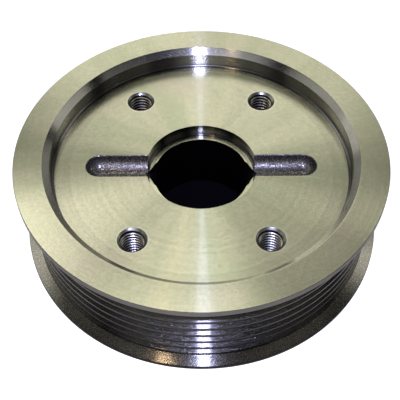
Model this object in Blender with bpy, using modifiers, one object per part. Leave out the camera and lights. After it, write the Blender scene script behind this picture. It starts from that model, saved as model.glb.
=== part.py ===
"""Oil pump pulley: one turned steel piece with a six-groove belt track.

Metres, +Z up. The pulley stands on its rear face; its axis is the Z axis.
"""

import math

import bpy

MM = 0.001

# Overall size
OUTER_RADIUS = 58.0 * MM
HEIGHT = 32.0 * MM
EDGE_BREAK = 0.3 * MM

# Front recess
MOUTH_RADIUS = 49.15 * MM
RECESS_RADIUS = 47.0 * MM
MOUTH_CHAMFER_DEPTH = 1.85 * MM
RECESS_DEPTH = 6.7 * MM
RECESS_FILLET = 0.9 * MM

# Bore and the step in it
STEP_RADIUS = 17.5 * MM
STEP_DEPTH = 4.05 * MM
STEP_FILLET = 0.8 * MM
BORE_RADIUS = 15.1 * MM
REAR_BORE_CHAMFER = 0.6 * MM

# Belt track
BELT_PITCH = 3.56 * MM
GROOVE_COUNT = 6
CREST_RADIUS = 54.5 * MM
GROOVE_DEPTH = 2.8 * MM
FLANK_ANGLE = math.radians(20.0)
CREST_WIDTH = 0.72 * MM
CREST_BREAK = 0.14 * MM
REAR_CREST_HEIGHT = 2.95 * MM

# Flanges
FRONT_RIM_WIDTH = 2.05 * MM
REAR_RIM_WIDTH = 1.55 * MM
FLANGE_SLOPE = math.radians(10.5)

# Cross slots for the drive pin
SLOT_RADIUS = 4.25 * MM
SLOT_REACH = 36.4 * MM
NOTCH_REACH = 17.3 * MM

# Tapped holes
HOLE_PITCH_RADIUS = 35.5 * MM
HOLE_ANGLE = math.radians(55.0)
TAP_MINOR_RADIUS = 3.35 * MM
COUNTERSINK_RADIUS = 4.4 * MM
CUTTER_MARGIN = 1.0 * MM

# Mesh fineness
TURN_STEPS = 72
HOLE_STEPS = 20
SLOT_STEPS = 24
SLOT_END_STEPS = 6
FILLET_STEPS = 3
SMOOTH_LIMIT = math.radians(18.0)


def clear_scene():
    """Remove every object of the start scene."""
    for item in list(bpy.data.objects):
        bpy.data.objects.remove(item, do_unlink=True)


def steel_material():
    """Bare turned steel with a pale straw tint."""
    material = bpy.data.materials.new("turned steel")
    material.use_nodes = True
    shader = material.node_tree.nodes["Principled BSDF"]
    shader.inputs["Base Color"].default_value = (0.62, 0.61, 0.52, 1.0)
    shader.inputs["Metallic"].default_value = 1.0
    shader.inputs["Roughness"].default_value = 0.32
    material.diffuse_color = (0.62, 0.61, 0.52, 1.0)
    return material


def inside_corner(wall_radius, floor_z, fillet):
    """Fillet between a level floor and the upright wall around it."""
    centre_r = wall_radius - fillet
    centre_z = floor_z + fillet
    points = []
    for step in range(FILLET_STEPS + 1):
        angle = math.radians(90.0 * step / FILLET_STEPS)
        point_r = centre_r + fillet * math.sin(angle)
        point_z = centre_z - fillet * math.cos(angle)
        points.append((point_r, point_z))
    return points


def revolve(name, profile, closed, steps, axis):
    """A turned body: the profile polyline with a Screw modifier."""
    if axis == "Z":
        corners = [(r, 0.0, z) for r, z in profile]
    else:
        corners = [(z, 0.0, r) for r, z in profile]
    count = len(corners)
    edges = [(index, index + 1) for index in range(count - 1)]
    if closed:
        edges.append((count - 1, 0))
    mesh = bpy.data.meshes.new(name)
    mesh.from_pydata(corners, edges, [])
    body = bpy.data.objects.new(name, mesh)
    screw = body.modifiers.new("Turn", "SCREW")
    screw.axis = axis
    screw.angle = math.tau
    screw.steps = steps
    screw.render_steps = steps
    screw.use_merge_vertices = True
    screw.merge_threshold = 0.000001
    return body


def groove_points(front_z):
    """One belt groove, from its front crest corner to its rear one."""
    root_radius = CREST_RADIUS - GROOVE_DEPTH
    flank_run = GROOVE_DEPTH * math.tan(FLANK_ANGLE)
    break_run = CREST_BREAK * math.tan(FLANK_ANGLE)
    rear_z = front_z - (BELT_PITCH - CREST_WIDTH)
    return [
        (CREST_RADIUS, front_z + CREST_BREAK),
        (CREST_RADIUS - CREST_BREAK, front_z - break_run),
        (root_radius, front_z - flank_run),
        (root_radius, rear_z + flank_run),
        (CREST_RADIUS - CREST_BREAK, rear_z + break_run),
        (CREST_RADIUS, rear_z - CREST_BREAK),
    ]


def pulley_profile():
    """Closed section of the pulley, running down its outer side."""
    floor_z = HEIGHT - RECESS_DEPTH
    ledge_z = floor_z - STEP_DEPTH
    front_crest_z = REAR_CREST_HEIGHT + GROOVE_COUNT * BELT_PITCH
    flange_drop = (OUTER_RADIUS - CREST_RADIUS) * math.tan(FLANGE_SLOPE)

    points = []
    # Front face and front rim
    points.append((MOUTH_RADIUS + EDGE_BREAK, HEIGHT))
    points.append((OUTER_RADIUS - EDGE_BREAK, HEIGHT))
    points.append((OUTER_RADIUS, HEIGHT - EDGE_BREAK))
    points.append((OUTER_RADIUS, HEIGHT - FRONT_RIM_WIDTH))
    # Inner side of the front flange down to the track
    points.append((CREST_RADIUS, HEIGHT - FRONT_RIM_WIDTH - flange_drop))
    # Belt grooves
    for index in range(GROOVE_COUNT):
        crest_z = front_crest_z - index * BELT_PITCH
        points.extend(groove_points(crest_z - CREST_WIDTH / 2.0))
    # Rear flange
    points.append((CREST_RADIUS, REAR_RIM_WIDTH + flange_drop))
    points.append((OUTER_RADIUS, REAR_RIM_WIDTH))
    points.append((OUTER_RADIUS, EDGE_BREAK))
    points.append((OUTER_RADIUS - EDGE_BREAK, 0.0))
    # Rear face and bore
    points.append((BORE_RADIUS + REAR_BORE_CHAMFER, 0.0))
    points.append((BORE_RADIUS, REAR_BORE_CHAMFER))
    points.append((BORE_RADIUS, ledge_z))
    # Step with its fillet
    points.extend(inside_corner(STEP_RADIUS, ledge_z, STEP_FILLET))
    points.append((STEP_RADIUS, floor_z - EDGE_BREAK))
    points.append((STEP_RADIUS + EDGE_BREAK, floor_z))
    # Recess floor, fillet, wall and mouth
    points.extend(inside_corner(RECESS_RADIUS, floor_z, RECESS_FILLET))
    points.append((RECESS_RADIUS, HEIGHT - MOUTH_CHAMFER_DEPTH))
    points.append((MOUTH_RADIUS, HEIGHT - EDGE_BREAK))
    return points


def capsule_profile(reach, radius):
    """Half outline of a round-ended bar along its own axis."""
    centre = reach - radius
    points = [(0.0, reach)]
    for step in range(1, SLOT_END_STEPS + 1):
        angle = math.radians(90.0 * (1.0 - step / SLOT_END_STEPS))
        points.append((radius * math.cos(angle), centre + radius * math.sin(angle)))
    mirrored = [(r, -z) for r, z in reversed(points)]
    return points + mirrored


def hole_profile():
    """Half outline of a tapped hole with a countersink at each end."""
    floor_z = HEIGHT - RECESS_DEPTH
    sink = COUNTERSINK_RADIUS - TAP_MINOR_RADIUS
    wide = COUNTERSINK_RADIUS + CUTTER_MARGIN
    return [
        (0.0, floor_z + CUTTER_MARGIN),
        (wide, floor_z + CUTTER_MARGIN),
        (TAP_MINOR_RADIUS, floor_z - sink),
        (TAP_MINOR_RADIUS, sink),
        (wide, -CUTTER_MARGIN),
        (0.0, -CUTTER_MARGIN),
    ]


def add_cutter(body, cutter, cutters):
    """Cut the body with a hidden helper object."""
    cutters.objects.link(cutter)
    cutter.hide_render = True
    cutter.display_type = "WIRE"
    cut = body.modifiers.new("Cut " + cutter.name, "BOOLEAN")
    cut.operation = "DIFFERENCE"
    cut.solver = "EXACT"
    cut.object = cutter


def build():
    """Build the pulley and its cutters."""
    clear_scene()
    scene = bpy.context.scene
    parts = bpy.data.collections.new("oil pump pulley")
    cutters = bpy.data.collections.new("cutters")
    scene.collection.children.link(parts)
    scene.collection.children.link(cutters)

    floor_z = HEIGHT - RECESS_DEPTH
    ledge_z = floor_z - STEP_DEPTH

    pulley = revolve("pulley", pulley_profile(), True, TURN_STEPS, "Z")
    parts.objects.link(pulley)
    pulley.data.materials.append(steel_material())

    bar = capsule_profile(SLOT_REACH, SLOT_RADIUS)
    slots = revolve("slot cutter", bar, False, SLOT_STEPS, "X")
    slots.location.z = floor_z
    add_cutter(pulley, slots, cutters)
    bar = capsule_profile(NOTCH_REACH, SLOT_RADIUS)
    notch = revolve("notch cutter", bar, False, SLOT_STEPS, "X")
    notch.location.z = ledge_z
    add_cutter(pulley, notch, cutters)

    hole_x = HOLE_PITCH_RADIUS * math.cos(HOLE_ANGLE)
    hole_y = HOLE_PITCH_RADIUS * math.sin(HOLE_ANGLE)
    corners = [(1, 1), (-1, 1), (-1, -1), (1, -1)]
    for number, (side_x, side_y) in enumerate(corners, 1):
        hole = revolve("hole cutter %d" % number, hole_profile(), False, HOLE_STEPS, "Z")
        hole.location.x = side_x * hole_x
        hole.location.y = side_y * hole_y
        add_cutter(pulley, hole, cutters)

    pulley.data.shade_smooth()
    pulley.data.set_sharp_from_angle(angle=SMOOTH_LIMIT)


build()
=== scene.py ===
"""Oil pump pulley in high detail, on a plain pale stage.

The turned body is spun from one section, and the slots, countersinks and
threads are cut into it. Everything is in metres, with +Z up.
"""

import math

import bmesh
import bpy
from mathutils import Matrix, Vector


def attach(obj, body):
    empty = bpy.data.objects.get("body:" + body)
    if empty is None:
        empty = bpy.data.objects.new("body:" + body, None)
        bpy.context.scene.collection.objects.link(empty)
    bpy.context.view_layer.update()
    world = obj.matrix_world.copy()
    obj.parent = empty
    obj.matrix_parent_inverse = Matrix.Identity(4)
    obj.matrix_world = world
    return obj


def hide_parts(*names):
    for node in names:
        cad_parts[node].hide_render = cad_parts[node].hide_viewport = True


bl_info = {
    "name": "Oil Pump Pulley",
    "version": (1, 0, 0),
    "blender": (4, 5, 0),
    "location": "View3D > Sidebar > Pulley",
    "description": "Builds a turned six-groove oil pump pulley and its stage",
    "category": "Object",
}

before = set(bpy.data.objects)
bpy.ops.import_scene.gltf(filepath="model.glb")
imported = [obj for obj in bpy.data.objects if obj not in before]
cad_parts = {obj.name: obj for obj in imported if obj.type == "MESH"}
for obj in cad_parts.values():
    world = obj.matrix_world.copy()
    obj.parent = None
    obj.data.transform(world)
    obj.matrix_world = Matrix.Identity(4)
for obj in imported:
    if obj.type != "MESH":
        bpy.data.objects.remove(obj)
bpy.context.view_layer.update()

MM = 0.001
NODE = "pulley"

# Places of the finishes in the body's material slots
(FACE, FLOOR, CONE, WALL, STEP, RIM, FLANGE, TRACK,
 SLOT, NOTCH, THREAD, SINK, BORE) = range(13)

# Mesh fineness
TURN_STEPS = 288
SLOT_STEPS = 24
BALL_STEPS = 14
FLARE_STEPS = 4
NOTCH_STEPS = 48
NOTCH_POINTS = 8
SINK_STEPS = 48
THREAD_STEPS = 32
THREAD_LAYERS = 16
STAGE_STEPS = 96
SHARP_ANGLE = math.radians(32.0)

# Stage
FLOOR_RADIUS = 12.0
FLOOR_LEVEL = -0.4 * MM
PAD_RADIUS = 45 * MM
PAD_LEVEL = -0.2 * MM
LAMP_TARGET = (0.0, 0.0, 0.02)
COOL_TINT = (0.95, 0.96, 1.0)
PLAIN_TINT = (1.0, 0.985, 0.93)

# Gloss of a lamp's streak across the turning marks, and of the fine grains
STREAK_ROUGHNESS = 0.20
STREAK_THINNESS = 0.92
GRAIN_SCALE = 3000.0


def length(name, description, millimetres):
    """A size that a user may change, given in millimetres."""
    return bpy.props.FloatProperty(
        name=name, description=description, default=millimetres * MM,
        min=0.0, precision=5, unit="LENGTH")


def angle(name, description, degrees):
    """An angle that a user may change, given in degrees."""
    return bpy.props.FloatProperty(
        name=name, description=description, default=math.radians(degrees),
        subtype="ANGLE")


def share(name, description, value, top=1.0):
    """A plain number that a user may change."""
    return bpy.props.FloatProperty(
        name=name, description=description, default=value, min=0.0, max=top)


def colour(name, description, red, green, blue):
    """A colour that a user may change."""
    return bpy.props.FloatVectorProperty(
        name=name, description=description, default=(red, green, blue),
        min=0.0, max=1.0, size=3, subtype="COLOR")


class PulleySizes(bpy.types.PropertyGroup):
    """Sizes of the turned body and of what is cut into it."""

    outer_radius: length("Outer radius", "Radius over the flanges", 58.0)
    height: length("Height", "Height over both faces", 32.0)
    edge_break: length("Edge break", "Rounding of the rear edges", 0.3)
    keen_edge: length("Keen edge", "Rounding of the front edges", 0.1)
    mouth_radius: length("Mouth radius", "Radius where the recess opens", 49.15)
    recess_radius: length("Recess radius", "Radius of the recess wall", 47.15)
    mouth_depth: length("Mouth chamfer", "Depth of the mouth's cone", 1.9)
    recess_depth: length("Recess depth", "Depth of the front recess", 6.7)
    recess_fillet: length("Recess fillet", "Fillet at the recess floor", 0.9)
    step_radius: length("Step radius", "Radius of the counterbore", 17.5)
    step_depth: length("Step depth", "Depth of the counterbore", 4.05)
    step_fillet: length("Step fillet", "Fillet at the counterbore floor", 0.8)
    bore_radius: length("Bore radius", "Radius of the through bore", 15.1)
    bore_chamfer: length("Bore chamfer", "Chamfer at the rear of the bore", 0.6)
    belt_pitch: length("Belt pitch", "Distance between belt ribs", 3.56)
    grooves: bpy.props.IntProperty(
        name="Grooves", description="Number of belt grooves", default=6, min=1)
    crest_radius: length("Crest radius", "Radius over the track's crests", 54.5)
    groove_depth: length("Groove depth", "Depth of one belt groove", 2.8)
    flank_angle: angle("Flank angle", "Slope of a groove's side", 20.0)
    crest_width: length("Crest width", "Width of a crest between grooves", 0.72)
    crest_break: length("Crest break", "Rounding of the crest edges", 0.14)
    rear_crest: length("Rear crest", "Height of the lowest crest", 2.95)
    front_rim: length("Front rim", "Width of the front flange's rim", 2.05)
    rear_rim: length("Rear rim", "Width of the rear flange's rim", 1.55)
    flange_slope: angle("Flange slope", "Slope of a flange's inner side", 10.5)
    slot_radius: length("Slot radius", "Radius of the pin slots", 4.25)
    slot_reach: length("Slot reach", "How far a slot runs from the axis", 36.4)
    slot_round: length("Slot rounding", "Rounding of a slot's upper edge", 0.35)
    notch_reach: length("Notch reach", "How far a notch runs from the axis", 17.3)
    hole_x: length("Hole X", "Sideways place of the tapped holes", 20.36)
    hole_y: length("Hole Y", "Fore and aft place of the tapped holes", 29.08)
    thread_minor: length("Thread minor", "Radius inside the thread", 3.35)
    thread_major: length("Thread major", "Radius at the thread's root", 4.02)
    thread_pitch: length("Thread pitch", "Rise of one thread turn", 1.25)
    sink_radius: length("Countersink", "Mouth radius of a tapped hole", 4.4)


class PulleyColours(bpy.types.PropertyGroup):
    """Colours of the steel: its own tints, and darker copies of it that are painted
    shade.
    """

    face: colour("Face", "Turned faces", 0.66, 0.655, 0.47)
    stain: colour("Stain", "Darker greenish patches on the faces", 0.56, 0.585, 0.40)
    blush: colour("Blush", "Faint pinkish patches on the faces", 0.68, 0.63, 0.49)
    # Cone to bore, all but glint and thread: darker copies of the steel's colour,
    # painted shade for the darker reflections of these parts.
    cone: colour("Cone", "Cone at the recess mouth", 0.33, 0.325, 0.29)
    wall: colour("Wall", "Upright recess wall", 0.155, 0.15, 0.148)
    step: colour("Step", "Counterbore wall", 0.085, 0.082, 0.082)
    rim: colour("Rim", "Outer rims", 0.132, 0.123, 0.110)
    flange: colour("Flange", "Inner sides of the flanges", 0.27, 0.26, 0.22)
    groove: colour("Groove", "Belt grooves", 0.050, 0.048, 0.042)
    glint: colour("Glint", "Polished grains on track, slots and flange",
                  0.72, 0.68, 0.60)
    crest: colour("Crest", "Crests between the grooves", 0.035, 0.032, 0.027)
    slot: colour("Slot", "Milled pin slots", 0.095, 0.090, 0.080)
    notch: colour("Notch", "Ground notches at the bore", 0.10, 0.10, 0.11)
    thread: colour("Thread", "Thread turns", 0.62, 0.59, 0.46)
    sink: colour("Countersink", "Countersinks of the tapped holes", 0.25, 0.25, 0.23)
    bore: colour("Bore", "Inside of the bore", 0.012, 0.012, 0.014)


class StageSettings(bpy.types.PropertyGroup):
    """Camera, lamps and floor."""

    camera_back: length("Camera back", "Camera's distance in front", 167.8)
    camera_height: length("Camera height", "Camera's height", 214.0)
    camera_pitch: angle("Camera pitch", "Camera's tilt below level", 50.844)
    camera_turn: angle("Camera turn", "Camera's turn to the side", -0.170)
    camera_roll: angle("Camera roll", "Camera's roll", -0.427)
    camera_lens: share("Lens", "Focal length in millimetres", 71.76, 300.0)
    floor: colour("Floor", "Floor and backdrop", 0.62, 0.62, 0.60)
    floor_glow: share("Floor glow", "White that the floor shows by itself", 0.84)
    panel_light: share("Panel light", "Strength of all the soft panels", 1.0, 9.0)
    horizon_light: share(
        "Horizon light", "Brightness near the floor's edge", 0.10, 9.0)
    dim_light: share(
        "Dim light", "Brightness of the room between the panels", 0.02, 9.0)
    flash_light: share(
        "Flash light", "Brightness of the lamp by the camera", 700.0, 9999.0)
    warm_light: share("Warm light", "Brightness of the small warm lamp", 32.0, 999.0)


# ---------------------------------------------------------------- mesh tools


def wire(bm, corners, closed):
    """Corner points in a plane through the axis, joined by edges.

    A corner is (radius, height, rounding), and rounding may be zero.
    """
    points = [bm.verts.new((r, 0.0, z)) for r, z, _ in corners]
    for first, second in zip(points, points[1:]):
        bm.edges.new((first, second))
    if closed:
        bm.edges.new((points[-1], points[0]))
    groups = {}
    for point, (_, _, rounding) in zip(points, corners):
        if rounding > 0.0:
            groups.setdefault(round(rounding, 7), []).append(point)
    for rounding, members in groups.items():
        segments = 2 if rounding < 0.2 * MM else 4
        bmesh.ops.bevel(
            bm, geom=members, offset=rounding, segments=segments,
            profile=0.5, affect="VERTICES", material=-1)


def lathe(bm, corners, closed, steps):
    """A turned body about the Z axis."""
    wire(bm, corners, closed)
    bmesh.ops.spin(
        bm, geom=bm.verts[:] + bm.edges[:], cent=(0, 0, 0), axis=(0, 0, 1),
        angle=math.tau, steps=steps, use_merge=True)
    bmesh.ops.remove_doubles(bm, verts=bm.verts[:], dist=0.0001 * MM)
    bmesh.ops.recalc_face_normals(bm, faces=bm.faces[:])


def close_up(bm):
    """Merge doubles and turn every face outwards."""
    bmesh.ops.remove_doubles(bm, verts=bm.verts[:], dist=0.0005 * MM)
    bmesh.ops.recalc_face_normals(bm, faces=bm.faces[:])


def as_object(bm, name, finish=0):
    """A new object in the scene that holds the bmesh."""
    for face in bm.faces:
        face.material_index = finish
        face.smooth = True
    mesh = bpy.data.meshes.new(name)
    bm.to_mesh(mesh)
    bm.free()
    item = bpy.data.objects.new(name, mesh)
    bpy.context.scene.collection.objects.link(item)
    return item


def section(s):
    """Closed section of the pulley, running down its outer side."""
    floor_z = s.height - s.recess_depth
    ledge_z = floor_z - s.step_depth
    drop = (s.outer_radius - s.crest_radius) * math.tan(s.flange_slope)
    rim_z = s.height - s.front_rim
    flank = s.groove_depth * math.tan(s.flank_angle)
    root = s.crest_radius - s.groove_depth
    soft = 0.08 * MM

    corners = [
        (s.mouth_radius, s.height, s.keen_edge),
        (s.outer_radius, s.height, 1.4 * s.keen_edge),
        (s.outer_radius, rim_z, soft),
        (s.crest_radius, rim_z - drop, 2.5 * soft),
    ]
    top_crest = s.rear_crest + s.grooves * s.belt_pitch
    for index in range(s.grooves):
        front_z = top_crest - index * s.belt_pitch - s.crest_width / 2.0
        rear_z = front_z - (s.belt_pitch - s.crest_width)
        corners += [
            (s.crest_radius, front_z, s.crest_break),
            (root, front_z - flank, 1.5 * s.crest_break),
            (root, rear_z + flank, 1.5 * s.crest_break),
            (s.crest_radius, rear_z, s.crest_break),
        ]
    corners += [
        (s.crest_radius, s.rear_rim + drop, 1.5 * soft),
        (s.outer_radius, s.rear_rim, 1.5 * soft),
        (s.outer_radius, 0.0, s.edge_break),
        (s.bore_radius + s.bore_chamfer, 0.0, soft),
        (s.bore_radius, s.bore_chamfer, soft),
        (s.bore_radius, ledge_z, 1.5 * soft),
        (s.step_radius, ledge_z, s.step_fillet),
        (s.step_radius, floor_z, s.keen_edge),
        (s.recess_radius, floor_z, s.recess_fillet),
        (s.recess_radius, s.height - s.mouth_depth, 1.5 * soft),
    ]
    return corners


def finish_at(centre, s):
    """Which finish a face of the plain turned body has."""
    radius = math.hypot(centre.x, centre.y)
    floor_z = s.height - s.recess_depth
    ledge_z = floor_z - s.step_depth
    nudge = 0.02 * MM
    if radius > s.crest_radius + nudge:
        if centre.z > s.height - nudge or centre.z < nudge:
            return FACE
        return RIM if radius > s.outer_radius - 0.4 * MM else FLANGE
    if radius > 0.5 * (s.mouth_radius + s.crest_radius):
        return TRACK if nudge < centre.z < s.height - nudge else FACE
    if centre.z > s.height - nudge or centre.z < nudge:
        return FACE
    if radius < s.bore_radius + s.bore_chamfer and centre.z < ledge_z - nudge:
        return BORE
    if min(abs(centre.z - ledge_z), abs(centre.z - floor_z)) < nudge:
        return FLOOR
    if radius < 0.5 * (s.step_radius + s.recess_radius):
        return STEP
    return CONE if centre.z > s.height - s.mouth_depth else WALL


def milled_slot(s, reach, level):
    """A ball-nosed cutter's path along X, with a flared upper edge."""
    radius, flare = s.slot_radius, s.slot_round
    centre = reach - radius
    lift = 0.01 * MM
    rise = 9.0 * MM
    stop = math.acos(flare / radius)
    points = []
    for index in range(BALL_STEPS + 1):
        turn = stop * index / BALL_STEPS
        points.append((radius * math.sin(turn), -radius * math.cos(turn)))
    for index in range(1, FLARE_STEPS + 1):
        turn = math.radians(90.0 * index / FLARE_STEPS)
        points.append((radius + flare * (1.0 - math.cos(turn)),
                       lift - flare * (1.0 - math.sin(turn))))
    points += [(radius + flare, rise), (0.0, rise)]

    bm = bmesh.new()
    ring = [bm.verts.new((centre, -w, h)) for w, h in points]
    near = [bm.edges.new(pair) for pair in zip(ring, ring[1:])]
    shift = (-2.0 * centre, 0.0, 0.0)

    out = bmesh.ops.spin(
        bm, geom=ring + near, cent=(centre, 0, 0), axis=(0, 0, 1),
        angle=math.pi, steps=SLOT_STEPS, use_merge=False)
    far = [e for e in out["geom_last"] if isinstance(e, bmesh.types.BMEdge)]
    out = bmesh.ops.extrude_edge_only(bm, edges=far)["geom"]
    moved = [v for v in out if isinstance(v, bmesh.types.BMVert)]
    bmesh.ops.translate(bm, vec=shift, verts=moved)
    last = [e for e in out if isinstance(e, bmesh.types.BMEdge)]
    last = [e for e in last if e.verts[0] in moved and e.verts[1] in moved]
    bmesh.ops.spin(
        bm, geom=moved + last, cent=(-centre, 0, 0), axis=(0, 0, 1),
        angle=math.pi, steps=SLOT_STEPS, use_merge=False)
    out = bmesh.ops.extrude_edge_only(bm, edges=near)["geom"]
    moved = [v for v in out if isinstance(v, bmesh.types.BMVert)]
    bmesh.ops.translate(bm, vec=shift, verts=moved)
    close_up(bm)
    bmesh.ops.translate(bm, vec=(0, 0, level), verts=bm.verts[:])
    return as_object(bm, "slot tool", SLOT)


def ground_notch(s):
    """A flared cutter along X that opens the slots into the bore."""
    outer = s.notch_reach + 0.7 * MM
    run = outer - s.bore_radius
    points = [(outer + 0.3 * MM, 0.0)]
    for index in range(NOTCH_POINTS + 1):
        place = index / NOTCH_POINTS
        width = 0.05 * MM + s.slot_radius * (0.62 * place + 0.36 * place ** 3)
        points.append((outer - run * place, width))
    widest = 1.25 * s.slot_radius
    points += [(s.bore_radius - 1.0 * MM, widest), (0.0, widest)]
    bm = bmesh.new()
    ring = [bm.verts.new((x, -w, 0.0)) for x, w in points]
    lines = [bm.edges.new(pair) for pair in zip(ring, ring[1:])]
    bmesh.ops.mirror(
        bm, geom=ring + lines, matrix=Matrix.Identity(4), merge_dist=0.001 * MM,
        axis="X")
    bmesh.ops.spin(
        bm, geom=bm.verts[:] + bm.edges[:], cent=(0, 0, 0), axis=(1, 0, 0),
        angle=math.tau, steps=NOTCH_STEPS, use_merge=True)
    close_up(bm)
    level = s.height - s.recess_depth - s.step_depth
    bmesh.ops.translate(bm, vec=(0, 0, level), verts=bm.verts[:])
    return as_object(bm, "notch tool", NOTCH)


def thread_reach(s, turn):
    """Radius of the tap at a share of a turn: flat, flank, root, flank."""
    crest, root = 8, 4
    flank = (THREAD_STEPS - crest - root) / 2.0
    place = turn * THREAD_STEPS
    if place <= crest:
        return s.thread_minor
    rise = min(place - crest, THREAD_STEPS - place)
    depth = s.thread_major - s.thread_minor
    return s.thread_minor + depth * min(1.0, rise / flank)


def tap_tool(bm, s):
    """A threaded rod about the Z axis that reaches past both ends of a hole."""
    new = bmesh.ops.create_circle(
        bm, cap_ends=False, segments=THREAD_STEPS, radius=1.0)["verts"]
    for vert in new:
        turn = (math.atan2(vert.co.y, vert.co.x) / math.tau) % 1.0
        vert.co *= thread_reach(s, round(turn * THREAD_STEPS) / THREAD_STEPS)
    margin = s.thread_pitch
    edges = list({edge for vert in new for edge in vert.link_edges})
    turns = math.ceil((s.height - s.recess_depth + 2.0 * margin) / s.thread_pitch)
    bmesh.ops.translate(bm, vec=(0, 0, -margin), verts=new)
    bmesh.ops.spin(
        bm, geom=new + edges, cent=(0, 0, 0), axis=(0, 0, 1),
        dvec=(0, 0, s.thread_pitch / THREAD_LAYERS),
        angle=math.tau * turns, steps=THREAD_LAYERS * turns, use_merge=False)


def build_taps(s):
    """The four threaded rods as one cutting tool."""
    bm = bmesh.new()
    tap_tool(bm, s)
    rims = [edge for edge in bm.edges if edge.is_boundary]
    bmesh.ops.holes_fill(bm, edges=rims, sides=0)
    bmesh.ops.recalc_face_normals(bm, faces=bm.faces[:])
    bmesh.ops.triangulate(bm, faces=bm.faces[:])
    spread(bm, s)
    return as_object(bm, "tap tool", THREAD)


def spread(bm, s):
    """Copies of what the bmesh holds at the four tapped holes."""
    first = bm.verts[:] + bm.edges[:] + bm.faces[:]
    corners = [(1, 1), (-1, 1), (-1, -1), (1, -1)]
    for side_x, side_y in corners[1:]:
        out = bmesh.ops.duplicate(bm, geom=first)["geom"]
        moved = [v for v in out if isinstance(v, bmesh.types.BMVert)]
        bmesh.ops.translate(
            bm, vec=(side_x * s.hole_x, side_y * s.hole_y, 0), verts=moved)
    moved = [v for v in first if isinstance(v, bmesh.types.BMVert)]
    bmesh.ops.translate(bm, vec=(s.hole_x, s.hole_y, 0), verts=moved)


def build_sinks(s):
    """The countersinks at both ends of the four holes as one cutting tool."""
    floor_z = s.height - s.recess_depth
    depth = s.sink_radius - s.thread_minor + 0.5 * MM
    tip = s.thread_minor - 0.5 * MM
    lift = 0.01 * MM
    reach = 2 * MM
    clear = s.sink_radius + 0.2 * MM
    bm = bmesh.new()
    lathe(bm, [
        (0.0, floor_z + reach, 0.0),
        (clear, floor_z + reach, 0.0),
        (clear, floor_z + lift, 0.0),
        (s.sink_radius, floor_z - 0.06 * MM, 0.0),
        (tip, floor_z - depth, 0.0),
        (0.0, floor_z - depth, 0.0),
    ], False, SINK_STEPS)
    lathe(bm, [
        (0.0, depth, 0.0), (tip, depth, 0.0),
        (s.sink_radius, 0.0, 0.0), (s.sink_radius, -reach, 0.0),
        (0.0, -reach, 0.0),
    ], False, SINK_STEPS)
    close_up(bm)
    spread(bm, s)
    return as_object(bm, "countersink tool", SINK)


def settle(body):
    """Apply the body's modifiers to its mesh."""
    graph = bpy.context.evaluated_depsgraph_get()
    old = body.data
    body.data = bpy.data.meshes.new_from_object(
        body.evaluated_get(graph), preserve_all_data_layers=True, depsgraph=graph)
    body.modifiers.clear()
    bpy.data.meshes.remove(old)


def cut(body, tool):
    """Cut the body with a tool, and throw the tool away."""
    change = body.modifiers.new("Cut", "BOOLEAN")
    change.operation = "DIFFERENCE"
    change.solver = "EXACT"
    change.object = tool
    settle(body)
    spent = tool.data
    bpy.data.objects.remove(tool, do_unlink=True)
    bpy.data.meshes.remove(spent)


# ---------------------------------------------------------------- node groups


def new_group(name, inputs, outputs):
    """A shader node group with its sockets, and its two end nodes."""
    group = bpy.data.node_groups.new(name, "ShaderNodeTree")
    for label, kind, value in inputs:
        socket = group.interface.new_socket(
            name=label, in_out="INPUT", socket_type=kind)
        if value is not None:
            socket.default_value = value
    for label, kind in outputs:
        group.interface.new_socket(
            name=label, in_out="OUTPUT", socket_type=kind)
    start = group.nodes.new("NodeGroupInput")
    end = group.nodes.new("NodeGroupOutput")
    return group, start, end


class Wiring:
    """Short calls for the nodes that the finishes use."""

    def __init__(self, tree):
        self.tree = tree

    def feed(self, socket, value):
        """Link or set a socket."""
        if isinstance(value, bpy.types.NodeSocket):
            self.tree.links.new(value, socket)
        elif value is not None:
            socket.default_value = value

    def math(self, operation, *values):
        """A Math node."""
        node = self.tree.nodes.new("ShaderNodeMath")
        node.operation = operation
        for socket, value in zip(node.inputs, values):
            self.feed(socket, value)
        return node.outputs[0]

    def vector(self, operation, *values):
        """A Vector Math node."""
        node = self.tree.nodes.new("ShaderNodeVectorMath")
        node.operation = operation
        for socket, value in zip(node.inputs, values):
            self.feed(socket, value)
        single = operation in ("LENGTH", "DOT_PRODUCT")
        return node.outputs["Value" if single else "Vector"]

    def split(self, vector):
        """The three parts of a vector."""
        node = self.tree.nodes.new("ShaderNodeSeparateXYZ")
        self.feed(node.inputs[0], vector)
        return node.outputs

    def join(self, x, y, z):
        """A vector from three parts."""
        node = self.tree.nodes.new("ShaderNodeCombineXYZ")
        for socket, value in zip(node.inputs, (x, y, z)):
            self.feed(socket, value)
        return node.outputs[0]

    def ramp(self, value, low, high, start=0.0, end=1.0):
        """A smooth step from start to end."""
        node = self.tree.nodes.new("ShaderNodeMapRange")
        node.interpolation_type = "SMOOTHSTEP"
        for socket, number in zip(node.inputs, (value, low, high, start, end)):
            self.feed(socket, number)
        return node.outputs["Result"]

    def noise(self, vector, scale, detail=2.0, rough=0.5):
        """A Noise texture's value."""
        node = self.tree.nodes.new("ShaderNodeTexNoise")
        self.feed(node.inputs["Vector"], vector)
        self.feed(node.inputs["Scale"], scale)
        self.feed(node.inputs["Detail"], detail)
        self.feed(node.inputs["Roughness"], rough)
        return node.outputs["Fac"]

    def mix(self, amount, first, second):
        """A Mix node for colours."""
        node = self.tree.nodes.new("ShaderNodeMix")
        node.data_type = "RGBA"
        self.feed(node.inputs["Factor"], amount)
        first_colour, second_colour = node.inputs[6], node.inputs[7]
        self.feed(first_colour, first)
        self.feed(second_colour, second)
        return node.outputs[2]

    def group(self, group, **values):
        """A placed node group; value names use _ for a space."""
        node = self.tree.nodes.new("ShaderNodeGroup")
        node.node_tree = group
        for label, value in values.items():
            self.feed(node.inputs[label.replace("_", " ")], value)
        return node.outputs


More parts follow.
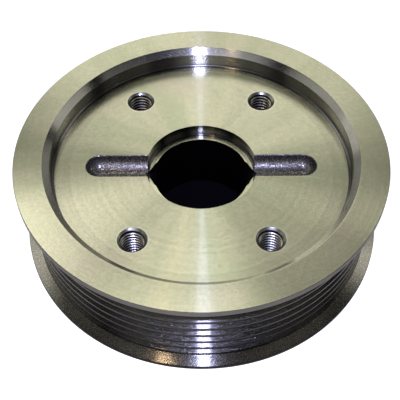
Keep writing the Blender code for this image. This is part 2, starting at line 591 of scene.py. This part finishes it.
def turning_marks_group():
    """Fine rings that a lathe tool leaves, on faces and on cylinders alike."""
    group, start, end = new_group(
        "Turning Marks",
        [("Vector", "NodeSocketVector", None),
         ("Pitch", "NodeSocketFloat", 0.0004),
         ("Wander", "NodeSocketFloat", 0.35)],
        [("Mark", "NodeSocketFloat"), ("Height", "NodeSocketFloat")])
    w = Wiring(group)
    vector, pitch = start.outputs["Vector"], start.outputs["Pitch"]
    x, y, z = w.split(vector)
    radius = w.vector("LENGTH", w.join(x, y, 0.0))
    along = w.math("SUBTRACT", radius, z)
    turns = w.math("DIVIDE", along, pitch)
    sweep = w.vector("NORMALIZE", w.join(x, y, 0.0))
    drift = w.noise(sweep, 2.6, 2.0)
    drift = w.math("MULTIPLY", drift, start.outputs["Wander"])
    place = w.math("ADD", turns, drift)
    coarse = w.noise(w.join(place, 0.0, 3.1), 0.35, 3.0, 0.6)
    fine = w.noise(w.join(place, 0.0, 7.7), 1.0, 2.0, 0.6)
    mark = w.math("ADD", w.math("MULTIPLY", coarse, 0.6),
                  w.math("MULTIPLY", fine, 0.4))
    w.feed(end.inputs["Mark"], mark)
    w.feed(end.inputs["Height"], fine)
    return group


def spoke_group():
    """Soft radial bands of tint, as oil and light wear leave on turned steel."""
    group, start, end = new_group(
        "Soft Spokes",
        [("Vector", "NodeSocketVector", None),
         ("Scale", "NodeSocketFloat", 3.0),
         ("Seed", "NodeSocketFloat", 0.0)],
        [("Spoke", "NodeSocketFloat"), ("Cloud", "NodeSocketFloat")])
    w = Wiring(group)
    x, y, z = w.split(start.outputs["Vector"])
    flat = w.join(x, y, 0.0)
    sweep = w.vector("NORMALIZE", flat)
    radius = w.vector("LENGTH", flat)
    lean = w.math("ADD", w.math("MULTIPLY", radius, 6.0), start.outputs["Seed"])
    sx, sy, _ = w.split(sweep)
    spoke = w.noise(w.join(sx, sy, lean), start.outputs["Scale"], 3.0, 0.55)
    shifted = w.join(x, y, w.math("ADD", z, start.outputs["Seed"]))
    cloud = w.noise(shifted, 45.0, 3.0, 0.55)
    w.feed(end.inputs["Spoke"], spoke)
    w.feed(end.inputs["Cloud"], cloud)
    return group


def grit_group():
    """Fine rough grain and small pits."""
    group, start, end = new_group(
        "Grit",
        [("Vector", "NodeSocketVector", None),
         ("Scale", "NodeSocketFloat", 900.0),
         ("Pit Size", "NodeSocketFloat", 0.09)],
        [("Grain", "NodeSocketFloat"), ("Pits", "NodeSocketFloat")])
    w = Wiring(group)
    vector = start.outputs["Vector"]
    grain = w.noise(vector, start.outputs["Scale"], 3.0, 0.65)
    cells = group.nodes.new("ShaderNodeTexVoronoi")
    w.feed(cells.inputs["Vector"], vector)
    cells.inputs["Scale"].default_value = 520.0
    rare = w.noise(vector, 60.0, 1.0)
    near = w.math("LESS_THAN", cells.outputs["Distance"], start.outputs["Pit Size"])
    some = w.ramp(rare, 0.56, 0.66)
    w.feed(end.inputs["Grain"], grain)
    w.feed(end.inputs["Pits"], w.math("MULTIPLY", near, some))
    return group


def facet_group():
    """Height in metres of small flat grains, each of which leans its own way."""
    group, start, end = new_group(
        "Facets",
        [("Vector", "NodeSocketVector", None),
         ("Scale", "NodeSocketFloat", 6000.0),
         ("Share", "NodeSocketFloat", 0.3),
         ("Lean", "NodeSocketFloat", 0.4)],
        [("Height", "NodeSocketFloat")])
    w = Wiring(group)
    vector = start.outputs["Vector"]
    cells = group.nodes.new("ShaderNodeTexVoronoi")
    w.feed(cells.inputs["Vector"], vector)
    w.feed(cells.inputs["Scale"], start.outputs["Scale"])
    chance = group.nodes.new("ShaderNodeTexWhiteNoise")
    w.feed(chance.inputs["Vector"], cells.outputs["Color"])
    chosen = w.math("LESS_THAN", chance.outputs["Value"], start.outputs["Share"])
    away = w.vector("SUBTRACT", vector, cells.outputs["Position"])
    lean = w.vector("SUBTRACT", cells.outputs["Color"], (0.5, 0.5, 0.5))
    height = w.math("MULTIPLY", w.vector("DOT_PRODUCT", away, lean), chosen)
    w.feed(end.inputs["Height"], w.math("MULTIPLY", height, start.outputs["Lean"]))
    return group


# ---------------------------------------------------------------- materials


class Finish:
    """One metal finish: a Principled shader, with more gloss mixed in."""

    def __init__(self, name, roughness, anisotropy=0.0):
        self.material = bpy.data.materials.new(name)
        self.material.use_nodes = True
        tree = self.material.node_tree
        self.shader = tree.nodes["Principled BSDF"]
        self.surface = self.shader.outputs["BSDF"]
        self.wiring = Wiring(tree)
        self.shader.inputs["Metallic"].default_value = 1.0
        self.shader.inputs["Roughness"].default_value = roughness
        self.shader.inputs["Anisotropic"].default_value = anisotropy
        place = tree.nodes.new("ShaderNodeTexCoord")
        self.place = place.outputs["Object"]
        self.round_axis = None
        if anisotropy > 0.0:
            tangent = tree.nodes.new("ShaderNodeTangent")
            tangent.direction_type = "RADIAL"
            tangent.axis = "Z"
            self.round_axis = tangent.outputs[0]
            tree.links.new(self.round_axis, self.shader.inputs["Tangent"])
            self.shader.inputs["Anisotropic Rotation"].default_value = 0.25

    def bump(self, height):
        """A Bump node on the shader, for a height in metres."""
        node = self.wiring.tree.nodes.new("ShaderNodeBump")
        node.inputs["Strength"].default_value = 1.0
        node.inputs["Distance"].default_value = 1.0
        self.wiring.feed(node.inputs["Height"], height)
        self.wiring.feed(self.shader.inputs["Normal"], node.outputs[0])

    def gloss(self, colour, amount, roughness, thinness=0.0):
        """Mix in a share of another gloss, which may spread across the marks."""
        tree = self.wiring.tree
        other = tree.nodes.new("ShaderNodeBsdfAnisotropic")
        other.distribution = "GGX"
        other.inputs["Roughness"].default_value = roughness
        other.inputs["Anisotropy"].default_value = thinness
        self.wiring.feed(other.inputs["Color"], colour)
        if thinness > 0.0:
            tree.links.new(self.round_axis, other.inputs["Tangent"])
        both = tree.nodes.new("ShaderNodeMixShader")
        self.wiring.feed(both.inputs["Fac"], amount)
        tree.links.new(self.surface, both.inputs[1])
        tree.links.new(other.outputs["BSDF"], both.inputs[2])
        self.surface = both.outputs["Shader"]
        end = tree.nodes["Material Output"]
        tree.links.new(self.surface, end.inputs["Surface"])

    def glints(self, colour, grit, most, spread, low=0.46):
        """Fine bright grains around a lamp's streak."""
        w = self.wiring
        fine = w.group(grit, Vector=self.place, Scale=GRAIN_SCALE)["Grain"]
        self.gloss(colour, w.ramp(fine, low, 0.68, 0.0, most), *spread)

    def set(self, label, value):
        """Feed one socket of the shader."""
        self.wiring.feed(self.shader.inputs[label], value)

    def paint(self, tint, shade):
        """Feed Base Color with a tint times a shade, and give the result."""
        painted = self.wiring.vector(
            "MULTIPLY", tint, self.wiring.join(shade, shade, shade))
        self.set("Base Color", painted)
        return painted


def full(value):
    """A colour with its fourth part."""
    return (value[0], value[1], value[2], 1.0)


def turned_finish(name, tints, groups, pitch, roughness, anisotropy, marked,
                  extra=None, glints=0.0, streak=0.029, edge_shine=1.0,
                  relief=0.0015, spread=(0.36, 0.0), grain_tint=None):
    """Turned steel: rings, soft spokes, tarnish, a few pits and glints."""
    made = Finish(name, roughness, anisotropy)
    made.set("Specular Tint", (edge_shine, edge_shine, edge_shine, 1.0))
    w = made.wiring
    marks = w.group(groups["marks"], Vector=made.place, Pitch=pitch)
    spokes = w.group(groups["spokes"], Vector=made.place)
    grit = w.group(groups["grit"], Vector=made.place)
    first, second, third = (full(tint) for tint in tints)
    tint = w.mix(w.ramp(spokes["Spoke"], 0.40, 0.70), first, second)
    tint = w.mix(w.ramp(spokes["Cloud"], 0.50, 0.74, 0.0, 0.8), tint, third)
    shade = w.ramp(marks["Mark"], 0.3, 0.7, 1.0 - marked, 1.0 + marked)
    shade = w.math("MULTIPLY", shade, w.ramp(grit["Grain"], 0.3, 0.7, 0.95, 1.05))
    shade = w.math("MULTIPLY", shade, w.math("SUBTRACT", 1.0, w.math(
        "MULTIPLY", grit["Pits"], 0.35)))
    # The extra shade, given for the rims and the recess floor, carries painted
    # shade.
    if extra is not None:
        shade = w.math("MULTIPLY", shade, extra(w, made.place))
    painted = made.paint(tint, shade)
    if streak > 0.0:
        made.gloss(painted, streak, STREAK_ROUGHNESS, STREAK_THINNESS)
    if glints > 0.0:
        made.glints(grain_tint or painted, groups["grit"], glints, spread)
    made.set("Roughness", w.ramp(
        marks["Mark"], 0.3, 0.7, roughness * 0.93, roughness * 1.07))
    made.bump(w.math("MULTIPLY", marks["Height"], relief * MM))
    return made.material


def floor_painted_shade_and_arcs(s, groups):
    """Shade of the recess floor: painted shade on the outer ring, a lighter
    counterbore floor, lighter halos round the holes and stray tool arcs.
    """
    def shade(w, place):
        x, y, z = w.split(place)
        radius = w.vector("LENGTH", w.join(x, y, 0.0))
        # Painted shade: the outer ring next to the recess wall is a little darker
        # than the inner floor.
        ring = w.ramp(radius, 41.1 * MM, 42.0 * MM, 1.15, 1.06)
        ledge = w.ramp(radius, s.step_radius - 0.5 * MM, s.step_radius, 1.3, 1.0)
        ring = w.math("MULTIPLY", ring, ledge)
        away = w.vector("LENGTH", w.join(
            w.math("SUBTRACT", w.math("ABSOLUTE", x), s.hole_x),
            w.math("SUBTRACT", w.math("ABSOLUTE", y), s.hole_y), 0.0))
        halo = w.ramp(away, s.sink_radius, s.sink_radius + 0.9 * MM, 1.22, 1.0)
        aside = w.vector("ADD", place, (0.018, -0.012, 0.0))
        arcs = w.group(groups["marks"], Vector=aside, Pitch=0.0008)
        patch = w.ramp(w.noise(place, 38.0, 2.0), 0.48, 0.66)
        arc = w.math("SUBTRACT", w.ramp(arcs["Mark"], 0.35, 0.65, 0.0, 2.0), 1.0)
        arc = w.math("MULTIPLY_ADD", w.math("MULTIPLY", arc, patch), 0.025, 1.0)
        return w.math("MULTIPLY", w.math("MULTIPLY", ring, halo), arc)
    return shade


def rim_painted_shade(s):
    """Painted shade on the rims: darker towards the bottom, so the rear rim is
    darker.
    """
    def shade(w, place):
        _, _, z = w.split(place)
        return w.ramp(z, s.rear_rim, s.height - s.front_rim, 0.20, 1.0)
    return shade


def track_finish(c, s, groups):
    """Belt track: painted shade makes the grooves dark and the crests darker still;
    the grooves take a share of bright gloss.
    """
    made = Finish("grooved track steel", 0.20, 0.97)
    w = made.wiring
    x, y, z = w.split(made.place)
    radius = w.vector("LENGTH", w.join(x, y, 0.0))
    crest = w.ramp(
        radius, s.crest_radius - 0.12 * MM, s.crest_radius - 0.02 * MM)
    marks = w.group(groups["marks"], Vector=made.place, Pitch=0.00025)
    spokes = w.group(groups["spokes"], Vector=made.place, Scale=4.0)
    grains = w.group(groups["facets"], Vector=made.place, Share=0.10, Lean=0.35)
    # Painted shade: dark copies of the steel's colour for the grooves and the
    # crests.
    tint = w.mix(crest, full(c.groove), full(c.crest))
    shade = w.math("MULTIPLY", w.ramp(marks["Mark"], 0.3, 0.7, 0.8, 1.15),
                   w.ramp(spokes["Spoke"], 0.3, 0.7, 0.85, 1.15))
    made.paint(tint, shade)
    glint = w.mix(crest, full(c.glint), full(c.crest))
    made.gloss(glint, 0.09, 0.18, 0.89)
    made.glints(glint, groups["grit"], 0.34, (0.27, 0.0), 0.52)
    made.bump(w.math("MULTIPLY_ADD", marks["Height"], 0.005 * MM, grains["Height"]))
    return made.material


def slot_finish(c, groups):
    """Rough slot surface with glints."""
    made = Finish("milled slot steel", 0.52)
    w = made.wiring
    grit = w.group(groups["grit"], Vector=made.place, Scale=2600.0)
    blotch = w.noise(made.place, 500.0, 2.0, 0.6)
    shade = w.math("MULTIPLY", w.ramp(grit["Grain"], 0.32, 0.70, 0.45, 1.6),
                   w.ramp(blotch, 0.3, 0.7, 0.85, 1.15))
    made.paint(tuple(c.slot), shade)
    made.glints(full(c.glint), groups["grit"], 0.90, (0.28, 0.0), 0.52)
    return made.material


def thread_finish(c, s, groups):
    """Cut thread: flanks in the thread's colour, with painted shade at the roots and
    further down the hole.
    """
    made = Finish("tapped thread steel", 0.34)
    w = made.wiring
    x, y, z = w.split(made.place)
    away = w.join(w.math("SUBTRACT", w.math("ABSOLUTE", x), s.hole_x),
                  w.math("SUBTRACT", w.math("ABSOLUTE", y), s.hole_y), 0.0)
    radius = w.vector("LENGTH", away)
    # Painted shade in the roots of the thread.
    root = w.ramp(radius, s.thread_minor + 0.01 * MM,
                  s.thread_minor + 0.12 * MM, 1.0, 0.04)
    floor_z = s.height - s.recess_depth
    # Painted shade: darker further down the hole.
    painted_depth_shade = w.ramp(z, floor_z - 14.0 * MM, floor_z - 5.0 * MM, 0.25, 1.0)
    grit = w.group(groups["grit"], Vector=made.place, Scale=1500.0)
    shade = w.math("MULTIPLY", w.math("MULTIPLY", root, painted_depth_shade),
                   w.ramp(grit["Grain"], 0.3, 0.7, 0.85, 1.15))
    made.paint(tuple(c.thread), shade)
    return made.material


def sink_finish(c, groups):
    """Countersink: satin cone with faint chatter marks."""
    made = Finish("countersunk steel", 0.29)
    w = made.wiring
    grit = w.group(groups["grit"], Vector=made.place, Scale=1300.0)
    shade = w.ramp(grit["Grain"], 0.3, 0.7, 0.88, 1.10)
    made.paint(tuple(c.sink), shade)
    return made.material


def notch_finish(c, groups):
    """Smooth steel where the slots open into the bore, painted dark as shade."""
    made = Finish("ground notch steel", 0.3)
    w = made.wiring
    grit = w.group(groups["grit"], Vector=made.place, Scale=700.0)
    shade = w.ramp(grit["Grain"], 0.3, 0.7, 0.8, 1.2)
    made.paint(tuple(c.notch), shade)
    return made.material


def bore_finish(c, groups):
    """Inside of the bore, painted near black as shade."""
    made = Finish("dark bore steel", 0.5)
    w = made.wiring
    marks = w.group(groups["marks"], Vector=made.place, Pitch=0.0005)
    shade = w.ramp(marks["Mark"], 0.3, 0.7, 0.7, 1.3)
    made.paint(tuple(c.bore), shade)
    return made.material


def finishes(c, s):
    """The body's materials in the order of its slots."""
    groups = {
        "marks": turning_marks_group(),
        "spokes": spoke_group(),
        "grit": grit_group(),
        "facets": facet_group(),
    }

    def plain(tint, darker):
        """The same tint three times, the second one darker."""
        return tint, [darker * value for value in tint], tint

    face = (c.face, c.stain, c.blush)
    return [
        turned_finish("turned face steel", face, groups, 0.00045, 0.17, 1.0, 0.03),
        turned_finish("recess floor steel", face, groups, 0.0004, 0.18, 1.0, 0.03,
                      extra=floor_painted_shade_and_arcs(s, groups)),
        turned_finish("mouth cone steel", plain(c.cone, 0.85), groups,
                      0.0003, 0.16, 1.0, 0.05, glints=0.34),
        turned_finish("recess wall steel", plain(c.wall, 0.75), groups,
                      0.0003, 0.21, 1.0, 0.08, streak=0.0),
        turned_finish("counterbore wall steel", plain(c.step, 0.75), groups,
                      0.0003, 0.20, 1.0, 0.08, streak=0.25),
        turned_finish("turned rim steel", plain(c.rim, 0.85), groups,
                      0.0003, 0.20, 0.98, 0.06, extra=rim_painted_shade(s), streak=0.0,
                      edge_shine=0.5),
        turned_finish("turned flange steel", plain(c.flange, 0.85), groups,
                      0.0003, 0.19, 1.0, 0.05, glints=0.45, streak=0.36,
                      relief=0.0003, spread=(0.28, 0.68),
                      grain_tint=full(c.glint)),
        track_finish(c, s, groups),
        slot_finish(c, groups),
        notch_finish(c, groups),
        thread_finish(c, s, groups),
        sink_finish(c, groups),
        bore_finish(c, groups),
    ]


# ---------------------------------------------------------------- operators


class PULLEY_OT_body(bpy.types.Operator):
    """Turn the pulley's body and cut its slots, countersinks and threads"""

    bl_idname = "pulley.build_body"
    bl_label = "Build Pulley Body"

    def execute(self, context):
        s = context.scene.pulley_sizes
        floor_z = s.height - s.recess_depth
        bm = bmesh.new()
        lathe(bm, section(s), True, TURN_STEPS)
        body = as_object(bm, "pulley_body", FACE)
        for material in finishes(context.scene.pulley_colours, s):
            body.data.materials.append(material)
        for face in body.data.polygons:
            face.material_index = finish_at(face.center, s)
        tools = [
            milled_slot(s, s.slot_reach, floor_z),
            ground_notch(s),
            build_taps(s),
            build_sinks(s),
        ]
        for tool in tools:
            for material in body.data.materials:
                tool.data.materials.append(material)
            cut(body, tool)
        body.data.set_sharp_from_angle(angle=SHARP_ANGLE)
        even = body.modifiers.new("Even shading", "WEIGHTED_NORMAL")
        even.mode = "FACE_AREA"
        even.keep_sharp = True
        settle(body)
        if not body.data.polygons:
            raise RuntimeError("the cuts left nothing of the pulley's body")
        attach(body, "root")
        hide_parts(NODE)
        return {"FINISHED"}


def lamp(name, place, target, size_x, size_y, radiance, tint):
    """An area lamp of a given brightness that the camera doesn't see."""
    data = bpy.data.lights.new(name, "AREA")
    data.shape = "RECTANGLE"
    data.size, data.size_y = size_x, size_y
    data.energy = radiance * math.pi * size_x * size_y
    data.color = tint
    item = bpy.data.objects.new(name, data)
    item.location = place
    item.rotation_mode = "QUATERNION"
    ahead = Vector(target) - Vector(place)
    item.rotation_quaternion = ahead.to_track_quat("-Z", "Y")
    item.visible_camera = False
    bpy.context.scene.collection.objects.link(item)


def aim_camera(g):
    """The camera at the photograph's place, tilt, turn and roll."""
    data = bpy.data.cameras.new("camera")
    data.sensor_width = 36.0
    data.lens = g.camera_lens
    data.clip_start, data.clip_end = 0.01, 50.0
    item = bpy.data.objects.new("camera", data)
    ahead = Vector((
        math.sin(g.camera_turn) * math.cos(g.camera_pitch),
        math.cos(g.camera_turn) * math.cos(g.camera_pitch),
        -math.sin(g.camera_pitch)))
    right = ahead.cross(Vector((0, 0, 1))).normalized()
    up = right.cross(ahead)
    side = right * math.cos(g.camera_roll) + up * math.sin(g.camera_roll)
    top = up * math.cos(g.camera_roll) - right * math.sin(g.camera_roll)
    turn = Matrix((side, top, -ahead)).transposed().to_4x4()
    place = Matrix.Translation((0, -g.camera_back, g.camera_height))
    item.matrix_world = place @ turn
    bpy.context.scene.collection.objects.link(item)
    bpy.context.scene.camera = item


def floor_material(g):
    """Pale floor that shows white, and keeps the shadow."""
    material = bpy.data.materials.new("pale floor")
    material.use_nodes = True
    tree = material.node_tree
    w = Wiring(tree)
    shader = tree.nodes["Principled BSDF"]
    shader.inputs["Base Color"].default_value = full(g.floor)
    shader.inputs["Roughness"].default_value = 0.9
    shader.inputs["Specular IOR Level"].default_value = 0.0
    shader.inputs["Emission Color"].default_value = (1.0, 1.0, 1.0, 1.0)
    rays = tree.nodes.new("ShaderNodeLightPath").outputs
    seen = w.math("MAXIMUM", rays["Is Camera Ray"], rays["Is Glossy Ray"])
    seen = w.math("MAXIMUM", seen, rays["Is Transmission Ray"])
    glow = w.math("MULTIPLY", seen, g.floor_glow)
    w.feed(shader.inputs["Emission Strength"], glow)
    return material


def shade_pad_material():
    """Painted shade: a near-black pad under the bore, so that the floor seen through
    the bore stays dark.
    """
    material = bpy.data.materials.new("shade pad")
    material.use_nodes = True
    shader = material.node_tree.nodes["Principled BSDF"]
    shader.inputs["Base Color"].default_value = (0.004, 0.004, 0.005, 1.0)
    shader.inputs["Roughness"].default_value = 1.0
    shader.inputs["Specular IOR Level"].default_value = 0.0
    return material


def disc(name, radius, level, material):
    """A flat round object at a level."""
    bm = bmesh.new()
    bmesh.ops.create_circle(
        bm, cap_ends=True, segments=STAGE_STEPS, radius=radius)
    bmesh.ops.translate(bm, vec=(0, 0, level), verts=bm.verts[:])
    item = as_object(bm, name)
    item.data.materials.append(material)
    return item


def panel_group():
    """Mask of one soft-edged rectangle of light, as seen from the pulley."""
    group, start, end = new_group(
        "Soft Panel",
        [("Direction", "NodeSocketVector", None),
         ("Facing", "NodeSocketVector", None),
         ("Side", "NodeSocketVector", None),
         ("Up", "NodeSocketVector", None),
         ("Half Width", "NodeSocketFloat", 0.2),
         ("Half Height", "NodeSocketFloat", 0.2),
         ("Edge", "NodeSocketFloat", 0.12)],
        [("Mask", "NodeSocketFloat")])
    w = Wiring(group)
    ins = start.outputs
    ahead = w.vector("DOT_PRODUCT", ins["Direction"], ins["Facing"])
    ahead = w.math("MAXIMUM", ahead, 0.05)
    mask = 1.0
    for axis, half in (("Side", "Half Width"), ("Up", "Half Height")):
        along = w.vector("DOT_PRODUCT", ins["Direction"], ins[axis])
        away = w.math("DIVIDE", w.math("ABSOLUTE", along), ahead)
        outer = w.math("ADD", ins[half], ins["Edge"])
        mask = w.math("MULTIPLY", w.ramp(away, ins[half], outer, 1.0, 0.0), mask)
    w.feed(end.inputs["Mask"], mask)
    return group


# Soft panels round the pulley: azimuth and elevation in degrees, half width,
# half height and soft edge as tangents, brightness, and if the light is cool.
PANELS = (
    (91.3, 47.1, 0.206, 0.259, 0.12, 0.35, False),
    (120.2, 53.3, 0.040, 0.052, 0.12, 2.40, False),
    (41.9, 47.2, 0.065, 0.040, 0.12, 2.39, False),
    (144.5, 33.1, 0.104, 0.277, 0.12, 1.28, False),
    (13.7, 20.1, 0.188, 0.305, 0.12, 0.90, False),
    (176.3, 34.4, 0.358, 0.105, 0.12, 0.87, False),
    (100.2, 66.9, 0.113, 0.045, 0.12, 2.13, False),
    (246.0, 43.7, 0.160, 0.044, 0.35, 0.95, True),
    (268.0, 35.5, 0.110, 0.058, 0.28, 1.43, True),
    (270.0, 42.0, 1.100, 0.140, 0.22, 0.10, True),
    (89.1, 39.9, 0.181, 0.063, 0.12, 0.72, False),
    (104.2, 19.5, 0.170, 0.116, 0.12, 1.71, False),
    (326.9, 36.0, 0.202, 0.046, 0.12, 0.60, False),
    (90.0, 12.0, 1.300, 0.190, 0.12, 0.40, False),
)


def room(g):
    """The room around the pulley: dim, with soft panels of light."""
    world = bpy.data.worlds.new("room")
    world.use_nodes = True
    tree = world.node_tree
    w = Wiring(tree)
    place = tree.nodes.new("ShaderNodeTexCoord").outputs["Generated"]
    soft = panel_group()
    _, _, z = w.split(place)
    horizon = w.ramp(z, 0.25, 0.50, g.horizon_light, 0.0)
    plain = w.math("ADD", horizon, g.dim_light)
    total = w.join(plain, plain, plain)
    for azimuth, elevation, wide, high, edge, bright, cool in PANELS:
        turn, tilt = math.radians(azimuth), math.radians(elevation)
        facing = Vector((math.cos(tilt) * math.cos(turn),
                         math.cos(tilt) * math.sin(turn), math.sin(tilt)))
        side = Vector((-math.sin(turn), math.cos(turn), 0.0))
        mask = w.group(soft, Direction=place, Facing=facing, Side=side,
                       Up=facing.cross(side), Half_Width=wide, Half_Height=high,
                       Edge=edge)["Mask"]
        level = w.math("MULTIPLY", mask, bright * g.panel_light)
        tinted = w.vector("MULTIPLY", w.join(level, level, level),
                          COOL_TINT if cool else PLAIN_TINT)
        total = w.vector("ADD", total, tinted)
    back = tree.nodes["Background"]
    w.feed(back.inputs["Color"], total)
    back.inputs["Strength"].default_value = 1.0
    return world


class PULLEY_OT_stage(bpy.types.Operator):
    """Add the floor, the dark pad of painted shade under the bore, the lamps and the
    camera
    """

    bl_idname = "pulley.build_stage"
    bl_label = "Build Stage"

    def execute(self, context):
        g = context.scene.pulley_stage
        floor = disc("floor", FLOOR_RADIUS, FLOOR_LEVEL, floor_material(g))
        pad = disc("pad", PAD_RADIUS, PAD_LEVEL, shade_pad_material())
        lamp("flash", (0.003, -0.157, 0.2484), LAMP_TARGET, 0.024, 0.012,
             g.flash_light, (0.50, 0.53, 1.0))
        lamp("warm lamp", (-0.0835, -0.0921, 0.4450), LAMP_TARGET, 0.026, 0.05,
             g.warm_light, (1.0, 0.72, 0.48))
        context.scene.world = room(g)
        context.scene.view_settings.view_transform = "Standard"
        aim_camera(g)
        return {"FINISHED"}


class PULLEY_PT_panel(bpy.types.Panel):
    """Sidebar panel that lists the pulley's operators"""

    bl_label = "Oil Pump Pulley"
    bl_idname = "PULLEY_PT_panel"
    bl_space_type = "VIEW_3D"
    bl_region_type = "UI"
    bl_category = "Pulley"

    def draw(self, context):
        self.layout.operator(PULLEY_OT_body.bl_idname)
        self.layout.operator(PULLEY_OT_stage.bl_idname)


CLASSES = (
    PulleySizes, PulleyColours, StageSettings,
    PULLEY_OT_body, PULLEY_OT_stage, PULLEY_PT_panel,
)


def register():
    """Register the classes and the scene's settings."""
    for item in CLASSES:
        bpy.utils.register_class(item)
    kind = bpy.types.Scene
    kind.pulley_sizes = bpy.props.PointerProperty(type=PulleySizes)
    kind.pulley_colours = bpy.props.PointerProperty(type=PulleyColours)
    kind.pulley_stage = bpy.props.PointerProperty(type=StageSettings)


def unregister():
    """Take the settings and the classes away."""
    kind = bpy.types.Scene
    del kind.pulley_sizes, kind.pulley_colours, kind.pulley_stage
    for item in reversed(CLASSES):
        bpy.utils.unregister_class(item)


def main():
    """Build the pulley and the stage."""
    register()
    bpy.ops.pulley.build_body()
    bpy.ops.pulley.build_stage()


if __name__ == "__main__":
    main()
